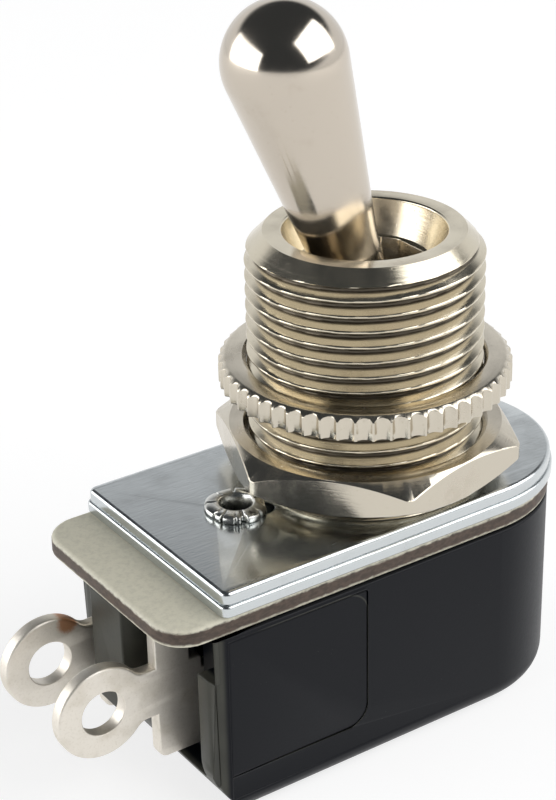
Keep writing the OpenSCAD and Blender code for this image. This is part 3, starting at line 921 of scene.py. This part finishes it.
@dataclass
class HexNut:
    """Hexagon nut with chamfered faces.

    Attributes:
        flats: Width across the flats.
        low: Height of the lower face.
        high: Height of the upper face.
        turn: Turn about the bushing, in degrees.
        face: Radius of the flat ring on each face.
        chamfer: Angle of the chamfers, in degrees.
        bore: Radius of the bore.
    """

    flats: float = 14.0
    low: float = 0.75
    high: float = 2.75
    turn: float = 9.5
    face: float = 6.95
    chamfer: float = 30.0
    bore: float = 5.99
    columns: int = 360

    def surface(self) -> np.ndarray:
        """The nut as one closed grid.

        Along each angle the side lies at half the flats' width over cos of the angle to the nearest flat's
        middle, and the chamfers meet it where they have dropped by (side - face) * tan of their angle.
        """
        angle = turns(self.columns) + math.radians(self.turn)
        off = (angle - math.radians(self.turn)) % (math.pi / 3) - math.pi / 6
        side = self.flats / 2 / np.cos(off)
        side = np.minimum(side, self.flats / math.sqrt(3.0) - 0.10)
        drop = np.maximum(side - self.face, 0.0) * math.tan(math.radians(self.chamfer))
        soft = 0.05
        stations = [
            (self.bore, self.low + 0.25), (self.bore + 0.25, self.low),
            (self.face, self.low), (side - soft, self.low + drop - 0.01), (side, self.low + drop + soft),
            (side, self.high - drop - soft), (side - soft, self.high - drop + 0.01), (self.face, self.high),
            (self.bore + 0.25, self.high), (self.bore, self.high - 0.25),
        ]
        return revolve(stations, angle)

    def build(self, finish: bpy.types.Material) -> bpy.types.Object:
        """Makes and dresses the nut."""
        skin = Skin()
        skin.grid(self.surface(), along=True)
        return dress(skin.build("hexagon_nut_skin", 20.0), Body.HEX_NUT, "nickel", finish, "hex_nut")


@dataclass
class RingNut:
    """Knurled ring nut: scalloped flutes that run out in arches on the upper chamfer.

    Attributes:
        radius: Radius over the ridges.
        low: Height of the lower face.
        high: Height of the upper face.
        bore: Radius of the bore.
        flutes: Number of flutes.
        scoop: Radius of the round cutter that leaves each flute.
        depth: Depth of each flute.
        chamfer: Width and height of the upper chamfer.
        per_flute: Columns of the grid in each flute.
    """

    radius: float = 7.4
    low: float = 5.16
    high: float = 6.46
    bore: float = 5.99
    flutes: int = 54
    scoop: float = 0.42
    depth: float = 0.22
    chamfer: tuple[float, float] = (0.34, 0.26)
    per_flute: int = 16

    def rim(self, angle: np.ndarray) -> np.ndarray:
        """Radius of the fluted rim: the nearer of the ridge circle and each flute's round floor.

        A flute's floor is a circle of radius scoop about a point at radius + scoop - depth, so along an angle
        a from its middle it lies at c * cos a - sqrt(scoop^2 - (c * sin a)^2). The two meet softly.
        """
        centre = self.radius + self.scoop - self.depth
        step = TAU / self.flutes
        off = (angle + step / 2) % step - step / 2
        across = centre * np.sin(off)
        floor = centre * np.cos(off) - np.sqrt(np.maximum(self.scoop**2 - across**2, 0.0))
        gap, soft = self.radius - floor, 0.02
        return self.radius - 0.5 * (gap + np.sqrt(gap**2 + soft**2))

    def surface(self) -> np.ndarray:
        """The nut as one closed grid; along each angle the chamfer stops where it meets the fluted rim."""
        angle = turns(self.flutes * self.per_flute)
        rim = self.rim(angle)
        width, height = self.chamfer
        face = self.radius - width
        drop = (rim - face) * height / width
        soft = 0.045
        stations = [
            (self.bore, self.low + 0.2), (self.bore + 0.2, self.low),
            (rim - soft * 2, self.low), (rim - soft * 0.5, self.low + soft * 0.5),
            (rim, self.low + soft * 2), (rim, self.high - drop - soft),
            (rim - soft * 0.35, self.high - drop + soft * 0.15), (face + soft, self.high - 0.02),
            ((face - soft), self.high), (self.bore + 0.2, self.high),
            (self.bore, self.high - 0.2),
        ]
        return revolve(stations, angle)

    def build(self, finish: bpy.types.Material) -> bpy.types.Object:
        """Makes and dresses the nut."""
        skin = Skin()
        skin.grid(self.surface(), along=True)
        return dress(skin.build("ring_nut_skin", 38.0), Body.RING_NUT, "nickel", finish, "ring_nut")


@dataclass
class Lever:
    """Bat lever with its ball and hollow arm, leaning towards the lugs.

    Attributes:
        fulcrum: Height of the ball's centre.
        lean: Lean from upright, in degrees.
        tip: Radius of the domed tip.
        reach: Distance from the fulcrum to the tip's centre.
        neck: Radius of the neck.
        neck_at: Distance from the fulcrum to the top of the neck.
        ball: Radius of the ball.
        arm: Radius and length of the arm below the ball.
        hole: Radius of the arm's bore and where it ends above the arm's foot.
    """

    fulcrum: float = 8.4
    lean: float = 18.0
    tip: float = 3.0
    reach: float = 14.6
    neck: float = 1.8
    neck_at: float = 4.6
    ball: float = 2.9
    arm: tuple[float, float] = (1.75, 8.0)
    hole: tuple[float, float] = (1.2, 1.2)
    columns: int = 128

    def tilt(self, points: np.ndarray) -> np.ndarray:
        """Leans points drawn about an upright lever, by a turn about Y, and lifts them to the fulcrum."""
        a = math.radians(self.lean)
        x, y, z = points[..., 0], points[..., 1], points[..., 2]
        across, up = x * math.cos(a) - z * math.sin(a), x * math.sin(a) + z * math.cos(a)
        return np.stack([across, y, up + self.fulcrum], -1)

    def section(self) -> np.ndarray:
        """Half section from the top of the tip down the outside and back up the arm's bore, as (r, z)."""
        span = self.reach - self.neck_at
        far = math.hypot(span, self.neck)
        slope = math.degrees(math.asin(self.tip / far) - math.asin(self.neck / far))
        tip = arc((0, self.reach), self.tip, 90, -slope, 40)
        shaft = np.linspace(tip[-1], (self.neck, self.neck_at), 24)[1:]
        meet = math.degrees(math.acos(self.neck / self.ball))
        ball = arc((0, 0), self.ball, meet, -math.degrees(math.acos(self.arm[0] / self.ball)), 40)
        foot = [(self.arm[0], -self.arm[1] + 0.1), (self.arm[0] - 0.1, -self.arm[1])]
        foot += [(self.hole[0], -self.arm[1])]
        hole = [(self.hole[0], -self.hole[1]), (0.0, -self.hole[1])]
        return np.concatenate([tip, shaft, ball, foot, hole])

    def build(self, finish: bpy.types.Material) -> bpy.types.Object:
        """Makes and dresses the lever: its section turned about its own axis, then leaned."""
        section, angle = self.section(), turns(self.columns)
        r, z = section[:, :1], section[:, 1:]
        where = np.stack([r * np.cos(angle), r * np.sin(angle), z + 0 * angle], -1)
        skin = Skin()
        skin.grid(self.tilt(where))
        return dress(skin.build("bat_lever", 38.0), Body.LEVER, "polish", finish, "lever")


@dataclass
class Rivet:
    """Tubular rivet with a flattened rim whose edge is cracked.

    Attributes:
        name: The piece's name.
        node: The frame node that it replaces.
        at: Its place on the plate.
        cracks: Direction in degrees, half width in degrees and depth from 0 to 1 of each crack.
        shank: Radius of the shank.
        bore: Radius of the bore.
        mouth: Radius of the flared mouth.
        rim: Radius of the rim.
        height: Height of the rim.
        foot: Radius, lower and upper height of the head under the base.
    """

    name: str
    node: str
    at: tuple[float, float]
    cracks: tuple[Colour, ...] = (
        (-109.0, 5.5, 1.0), (-152.0, 2.6, 0.8), (-169.0, 2.4, 0.6), (-72.0, 2.4, 0.45), (-125.0, 1.8, 0.3),
        (-30.0, 17.0, 0.55), (22.0, 2.6, 0.8), (64.0, 3.5, 0.9), (101.0, 2.2, 0.5), (146.0, 3.0, 0.8),
    )
    shank: float = 1.0
    bore: float = 0.72
    mouth: float = 0.88
    rim: float = 1.60
    height: float = 0.46
    foot: Colour = (1.8, -12.64, -12.24)
    columns: int = 360

    def lack(self, angle: np.ndarray) -> np.ndarray:
        """How much of the rim's edge is missing along each angle: the deepest of the cracks' bells there."""
        where, half, depth = (np.array(v)[:, None] for v in zip(*self.cracks))
        off = (np.degrees(angle)[None, :] - where + 180.0) % 360.0 - 180.0
        return np.max(depth * np.exp(-((off / half) ** 4)), axis=0)

    def surface(self) -> np.ndarray:
        """The rivet as one closed grid, from its bore over the cracked rim and down to the lower head."""
        angle = turns(self.columns)
        lack = self.lack(angle)
        sway = 0.03 * np.sin(3 * angle + 0.7) + 0.015 * np.sin(7 * angle)
        rim = self.rim + sway - 0.30 * lack
        top = self.height + 0.3 * sway
        stations = [(self.bore, self.foot[1]), (self.bore, -0.3)]
        stations += [((self.bore + 0.04), 0.1), (self.mouth - 0.05 + sway * 0.5, top - 0.12)]
        stations += [(self.mouth + sway * 0.5, top - 0.04), (self.mouth + 0.07 + sway * 0.5, top)]
        flat = rim - 0.24
        stations += [(flat, top - 0.05 - 0.05 * lack)]
        for a in np.radians([20, 40, 60, 80, 90]):
            edge = top - 0.05 - 0.05 * lack - 0.16 * (1 - math.cos(a))
            stations.append((flat + (rim - flat) * math.sin(a), edge))
        stations += [(rim + 0.015, 0.08), (rim - 0.03, 0.02), (rim - 0.10, 0.004)]
        stations += [(self.shank, 0.004), (self.shank, self.foot[2])]
        stations += [(self.foot[0], self.foot[2]), (self.foot[0], (self.foot[1] + 0.1))]
        stations += [((self.foot[0] - 0.1), self.foot[1])]
        return revolve(stations, angle, self.at)

    def build(self, finish: bpy.types.Material) -> bpy.types.Object:
        """Makes and dresses the rivet."""
        skin = Skin()
        skin.grid(self.surface(), along=True)
        return dress(skin.build(self.name, 45.0), Body.HOUSING, "rivet", finish, self.node)


@dataclass
class Plates:
    """The two steel plates and the insulating sheet between them and the base.

    Attributes:
        rivets: Places of both rivets.
        rivet_hole: Radius of their holes.
        spigot: Radius of the bushing's hole.
        key: Distance from the first rivet to the end of its key notch, and half the notch's width.
        key_angle: Direction of the key notch, in degrees.
    """

    rivets: tuple[tuple[float, float], tuple[float, float]] = ((-7.95, 0.0), (7.6, 0.45))
    rivet_hole: float = 1.03
    spigot: float = 5.2
    key: tuple[float, float] = (1.3, 0.6)
    key_angle: float = -30.0

    def holes(self, keyed: bool) -> list[np.ndarray]:
        """Outlines of the two rivet holes; the first may have a key notch.

        Args:
            keyed: Whether the first hole has its notch.

        Returns:
            One outline for each hole.
        """
        first = arc(self.rivets[0], self.rivet_hole, 0, 360, 49)[:-1]
        if keyed:
            reach, half = self.key
            meet = math.degrees(math.asin(half / self.rivet_hole))
            turn = math.radians(self.key_angle)
            end = np.array(self.rivets[0]) + reach * np.array([math.cos(turn), math.sin(turn)])
            leave, back = self.key_angle + meet, self.key_angle + 360 - meet
            hole = arc(self.rivets[0], self.rivet_hole, leave, back, 40)
            first = np.concatenate([hole, arc(end, half, self.key_angle - 90, self.key_angle + 90, 16)])
        return [first, arc(self.rivets[1], self.rivet_hole, 0, 360, 49)[:-1]]

    def upper(self, finish: bpy.types.Material) -> bpy.types.Object:
        """Makes and dresses the upper plate."""
        skin = Skin()
        outline = plate_outline(12.85, 4.1, 6.4, 0.45)
        bore = arc((0, 0), self.spigot, 0, 360, 97)[:-1]
        edges = [(0.05, 0.22), (0.05, 0.05), (0.04, 0.06), (0.04, 0.06)]
        skin.slab([outline, bore, *self.holes(True)], -0.655, 0.0, flat, edges)
        piece = even_shading(skin.build("cover_plate_skin"))
        return dress(piece, Body.HOUSING, "plate", finish, "upper_plate")

    def lower(self, finish: bpy.types.Material) -> bpy.types.Object:
        """Makes and dresses the lower plate."""
        skin = Skin()
        outline = plate_outline(12.97, 4.1, 6.52, 0.5)
        bore = arc((0, 0), self.spigot, 0, 360, 97)[:-1]
        edges = [(0.12, 0.16), (0.05, 0.05), (0.04, 0.04), (0.04, 0.04)]
        skin.slab([outline, bore, *self.holes(False)], -1.31, -0.665, flat, edges)
        piece = even_shading(skin.build("frame_plate_skin"))
        return dress(piece, Body.HOUSING, "plate", finish, "lower_plate")

    def sheet(self, finish: bpy.types.Material) -> bpy.types.Object:
        """Makes and dresses the insulating sheet, whose opening is a rectangle joined to a circle."""
        skin = Skin()
        outline = plate_outline(15.8, 4.1, 6.35, 1.85)
        half_x, half_y, radius = 6.0, 3.9, 5.75
        side = math.degrees(math.asin(half_y / radius))
        top = arc((0, 0), radius, side, 180 - side, 25)
        bottom = arc((0, 0), radius, 180 + side, 360 - side, 25)
        right, left = [(half_x, -half_y), (half_x, half_y)], [(-half_x, half_y), (-half_x, -half_y)]
        window = np.concatenate([right, top, left, bottom])
        edges = [(0.22, 0.26), (0.02, 0.02), (0.02, 0.02), (0.02, 0.02)]
        skin.slab([outline, window, *self.holes(False)], -2.34, -1.315, flat, edges)
        piece = even_shading(skin.build("insulating_sheet_skin"))
        return dress(piece, Body.HOUSING, "fibre", finish, "insulator")


@dataclass
class Lugs:
    """The two solder lugs, each one flat strip: eye, neck, tab, and the blade inside the base."""

    side: float = 2.64
    thickness: float = 0.75
    eye: Colour = (-17.75, -6.53, 2.45)
    hole: float = 1.18
    neck: float = 1.35
    fillet: float = 0.8
    track: tuple[float, float] = (8.4, 14.27)
    edge: float = 0.13

    def outline(self) -> np.ndarray:
        """The strip's outline in X and Z, counter-clockwise."""
        x, z, radius = self.eye
        reach = math.sqrt((radius + self.fillet) ** 2 - (self.neck + self.fillet) ** 2)
        cx, dz = x + reach, self.neck + self.fillet
        lean = math.degrees(math.atan2(dz, reach))
        upper = arc((cx, z + dz), self.fillet, 270, 180 + lean, 10)
        eye = arc((x, z), radius, lean, 360 - lean, 80)
        lower = arc((cx, z - dz), self.fillet, 180 - lean, 90, 10)
        corners = [(-14.8, -10.5, 0.5), (-12.15, -10.5, 0.5), (-12.15, -8.0, 0.0), (-14.8, -8.0, 0.0)]
        foot = round_corners(corners)[:12]
        centre, r = self.track
        bend = np.linspace(-2.9, -5.9, 12)
        blade = np.column_stack([bend, centre - np.sqrt(r**2 - bend**2)])
        rest = [(-5.9, -6.0), (-12.15, -6.0), (-12.15, -5.55)]
        shoulder = arc((-12.4, -5.55), 0.25, 0, 90, 5)
        head = [(-12.85, -5.3), (-12.85, -2.345), (-14.8, -2.345), (-14.8, z + self.neck)]
        path = [upper, eye, lower, [(-14.8, z - self.neck)], foot]
        path += [[(-12.15, -9.4), (-2.9, -9.4)], blade, rest, shoulder, head]
        return np.concatenate([np.asarray(p, float) for p in path])

    def build(self, finishes: Sequence[bpy.types.Material]) -> list[bpy.types.Object]:
        """Makes and dresses both lugs, the near one first."""
        made = []
        bore = arc(self.eye[:2], self.hole, 0, 360, 65)[:-1]
        names, nodes = ("near_lug_skin", "far_lug_skin"), ("lug_near", "lug_far")
        for sign, name, node, finish in zip((-1, 1), names, nodes, finishes):
            skin = Skin()
            middle, half = sign * self.side, self.thickness / 2
            edges = [(self.edge, self.edge), (0.05, 0.05)]
            skin.slab([self.outline(), bore], middle - half, middle + half, upright, edges)
            piece = even_shading(skin.build(name))
            made.append(dress(piece, Body.HOUSING, "tin", finish, node))
        return made


@dataclass
class Base:
    """The moulded base: the frame's shape with eased panels, wider notches and rounded edges.

    Attributes:
        side: Distance from the middle plane to the sides.
        panel: X of the panels' lug end and of their other end.
        notch: Old and new distance from the middle plane to the corner notches' outer wall.
        notch_foot: Height of the notches' floor.
    """

    side: float = 6.5
    panel: tuple[float, float] = (-12.8, -4.7)
    notch: tuple[float, float] = (6.05, 6.36)
    notch_foot: float = -4.84

    def shape(self, mesh: bpy.types.Mesh) -> None:
        """Eases the panels and widens the notches.

        A point that stands proud of a side keeps the part of its height that it has come from the lug end, so
        the panels rise from flush to full. The notches' outer walls move straight out.

        Args:
            mesh: The base's mesh, in metres.
        """
        flat = np.empty(len(mesh.vertices) * 3)
        mesh.vertices.foreach_get("co", flat)
        p = flat.reshape(-1, 3) / MM
        away = np.abs(p[:, 1])
        share = np.clip((p[:, 0] - self.panel[0]) / (self.panel[1] - self.panel[0]), 0.0, 1.0)
        away = np.where(away > self.side, self.side + (away - self.side) * share, away)
        on_wall = (np.abs(away - self.notch[0]) < 0.02) & (p[:, 2] > self.notch_foot - 0.05)
        away = np.where(on_wall, self.notch[1], away)
        p[:, 1] = np.sign(p[:, 1]) * away
        mesh.vertices.foreach_set("co", (p * MM).ravel())
        mesh.update()

    def build(self, finish: bpy.types.Material) -> bpy.types.Object:
        """Makes and dresses the base."""
        piece = merged_copy("base", "moulded_base")
        self.shape(piece.data)
        bevel(piece, 0.12, 3)
        piece.modifiers["edge"].use_clamp_overlap = False
        return dress(piece, Body.HOUSING, "phenolic", finish, "base")


@dataclass
class Works:
    """The pieces inside the base and the arm: they keep the frame's shapes and get their finishes."""

    def build(self, finishes: dict[str, bpy.types.Material]) -> None:
        """Dresses each inner node.

        Args:
            finishes: The material of each node.
        """
        for node, finish in finishes.items():
            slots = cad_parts[node].material_slots
            for s in slots:
                s.material = finish
            LOG.info("%s: frame node dressed", node)


# --------------------------------------------------------------------------------------------------
# Studio
# --------------------------------------------------------------------------------------------------
@dataclass
class Studio:
    """Floor, lights and surroundings.

    Attributes:
        floor_half: Half the floor's side, in metres.
        front: Direction of the camera's side, in degrees from +X towards +Y.
        dip: How far the dark dome dips towards the camera's side.
        fade: Levels at which white ends and dark begins.
        low: Colour of the surroundings low down.
        high: Colour of the surroundings overhead.
    """

    floor_half: float = 2.5
    front: float = -124.8
    dip: float = 0.325
    fade: tuple[float, float] = (0.12, 0.34)
    low: Colour = (0.92, 0.93, 0.94)
    high: Colour = (0.05, 0.055, 0.06)

    def floor(self) -> None:
        """Lays the floor under the base."""
        low = CAD_BOX[0].z
        h = self.floor_half
        mesh = bpy.data.meshes.new("floor")
        mesh.from_pydata([(-h, -h, low), (h, -h, low), (h, h, low), (-h, h, low)], [], [(0, 1, 2, 3)])
        mesh.materials.append(Floor().build())
        made = bpy.data.objects.new("floor", mesh)
        bpy.context.scene.collection.objects.link(made)

    def surroundings(self) -> None:
        """White low down and dark above a plane that dips towards the camera's side.

        The brightness follows height + dip * (component towards the camera's side), from bright to dark.
        """
        world = bpy.data.worlds.new("surroundings")
        bpy.context.scene.world = world
        g = Graph(world)
        x, y, z = g.split(g.node("ShaderNodeTexCoord", {}, {}).outputs["Generated"])
        a = math.radians(self.front)
        side = x * math.cos(a) + y * math.sin(a)
        level = (z + side * self.dip).ramp(self.fade[0], self.fade[1])
        g.finish(Color=g.blend(level, self.low, self.high), Strength=1.0)

    def softbox(
        self, name: str, azimuth: float, height: float, away: float, size: tuple[float, float], glow: float
    ) -> None:
        """Hangs one softbox that faces the switch.

        Args:
            name: The light's name.
            azimuth: Direction from the switch, in degrees from +X towards +Y.
            height: Elevation above the floor's plane, in degrees.
            away: Distance, in metres.
            size: Width and height, in metres.
            glow: Brightness of its face; its power is glow * pi * area.
        """
        light = bpy.data.lights.new(name, "AREA")
        light.shape, light.size, light.size_y = "RECTANGLE", *size
        light.energy = glow * math.pi * size[0] * size[1]
        a, e = math.radians(azimuth), math.radians(height)
        out = Vector((math.cos(a) * math.cos(e), math.sin(a) * math.cos(e), math.sin(e)))
        made = bpy.data.objects.new(name, light)
        made.matrix_world = Matrix.Translation(out * away) @ out.to_track_quat("Z", "Y").to_matrix().to_4x4()
        bpy.context.scene.collection.objects.link(made)

    def build(self) -> None:
        """Sets up everything round the switch."""
        self.floor()
        self.surroundings()
        self.softbox("left_softbox", 156.0, 17.0, 0.5, (0.66, 0.30), 3.0)
        self.softbox("right_softbox", -50.0, 38.0, 0.5, (0.66, 0.42), 3.0)
        scene = bpy.context.scene
        scene.view_settings.view_transform = "Standard"


@dataclass
class Viewpoint:
    """The camera.

    Attributes:
        place: Where it stands, in millimetres.
        yaw: Azimuth that it stands at, in degrees.
        pitch: How far it looks down, in degrees.
        roll: Turn about its own line of sight, in degrees.
        lens: Focal length for a 36 mm sensor along the picture's long side.
        shift: Sideways and upward shift of the lens.
    """

    place: Colour = (-55.989, -76.011, 51.418)
    yaw: float = -34.828
    pitch: float = 27.851
    roll: float = -0.834
    lens: float = 93.617
    shift: tuple[float, float] = (-0.0469, 0.0471)

    def build(self) -> None:
        """Makes the camera and hands it to the scene."""
        a, e, t = (math.radians(v) for v in (self.yaw, self.pitch, self.roll))
        back = np.array([math.sin(a) * math.cos(e), -math.cos(a) * math.cos(e), math.sin(e)])
        right = np.array([math.cos(a), math.sin(a), 0.0])
        up = np.cross(back, right)
        turned = math.cos(t) * right + math.sin(t) * up
        upward = -math.sin(t) * right + math.cos(t) * up
        data = bpy.data.cameras.new("camera")
        data.sensor_width, data.lens = 36.0, self.lens
        data.shift_x, data.shift_y = self.shift
        data.clip_start, data.clip_end = 0.005, 10.0
        made = bpy.data.objects.new("camera", data)
        basis = Matrix(np.column_stack([turned, upward, back]).tolist()).to_4x4()
        made.matrix_world = Matrix.Translation(Vector(self.place) * MM) @ basis
        bpy.context.scene.collection.objects.link(made)
        bpy.context.scene.camera = made


def main() -> None:
    """Builds every sub-assembly in order, then the studio and the camera."""
    logging.basicConfig(level=logging.INFO, format="%(message)s")
    lever = Lever()
    turned = Metal(
        "turned_nickel", (0.60, 0.55, 0.46), (0.42, 0.36, 0.28), 0.13, 0.26, Grain.TURNED, 0.004, 0.3
    )
    thread = Metal(
        "thread_nickel", (0.65, 0.59, 0.47), (0.46, 0.39, 0.29), 0.12, 0.24, Grain.TURNED, 0.004, 0.3,
        shaded_roots=(5.0, 5.56, 12.3),
    )
    polished = Metal(
        "polished_nickel", (0.57, 0.51, 0.435), (0.44, 0.37, 0.29), 0.07, 0.15, Grain.TURNED, 0.0012, 0.2,
        (0.0, 0.0, lever.fulcrum), (0.0, math.radians(lever.lean), 0.0),
    )
    zinc = Metal("zinc_plate", (0.60, 0.63, 0.64), (0.46, 0.47, 0.46), 0.12, 0.24, Grain.ROLLED, 0.003, 0.3)
    rim = Metal("rivet_plate", (0.66, 0.66, 0.63), (0.36, 0.35, 0.30), 0.16, 0.32, Grain.CAST, 0.006, 0.4)
    Bushing().build(thread.build())
    nickel = turned.build()
    HexNut().build(nickel)
    RingNut().build(nickel)
    lever.build(polished.build())
    rivet = rim.build()
    Rivet("lug_end_rivet", "rivet_lug_end", (-7.95, 0.0)).build(rivet)
    Rivet("round_end_rivet", "rivet_round_end", (7.6, 0.45)).build(rivet)
    plates = Plates()
    steel = zinc.build()
    plates.upper(steel)
    plates.lower(steel)
    plates.sheet(Laminate("laminate", (0.70, 0.67, 0.54), (0.045, 0.030, 0.021), (-2.14, -1.52)).build())
    spotted = Tinned("tinned_far", spot_at=(-16.6, 2.3, -4.55), spot_radius=0.75)
    Lugs().build([Tinned("tinned_near").build(), spotted.build()])
    Base().build(Phenolic().build())
    Works().build({
        "spring": Metal("spring_wire", (0.50, 0.50, 0.50), (0.3, 0.28, 0.25), 0.25, 0.4).build(),
        "plunger": Laminate(
            "carrier_laminate", (0.16, 0.075, 0.035), (0.09, 0.045, 0.025), (-5.0, -4.0)
        ).build(),
        "contact_roller": Metal("copper", (0.90, 0.52, 0.36), (0.55, 0.28, 0.15), 0.22, 0.38).build(),
    })
    Studio().build()
    Viewpoint().build()


if __name__ == "__main__":
    main()
